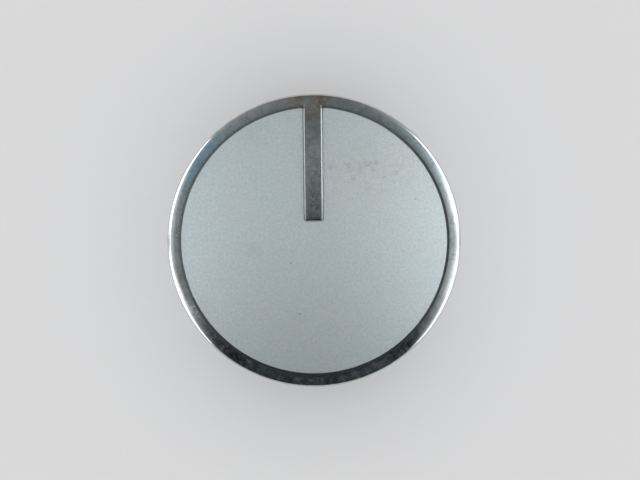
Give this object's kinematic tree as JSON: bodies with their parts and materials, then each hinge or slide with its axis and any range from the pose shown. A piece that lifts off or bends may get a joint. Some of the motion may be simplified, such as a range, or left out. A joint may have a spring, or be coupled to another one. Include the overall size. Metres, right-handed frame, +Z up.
{
  "type": "control knob",
  "caption": "Round control knob with a chrome rim, a satin face disc and a raised pointer bar, pushed onto a D-shaped shaft that a slit hub and its spring ring grip.",
  "frame": {"origin": "on the shaft axis, in the plane of the shell's panel edge, on which the knob rests", "axes": "+Z up the shaft axis towards the face, +Y along the pointer"},
  "size_m": [0.0508, 0.0508, 0.024],
  "materials": {
    "chrome_plating": "polished",
    "satin_aluminium": "satin",
    "core_plastic": "matte",
    "spring_steel": "satin"
  },
  "bodies": {
    "root": {"chrome_shell": "chrome_plating", "face_disc": "satin_aluminium", "drive_core": "core_plastic", "spring_ring": "spring_steel"}
  },
  "joints": []
}
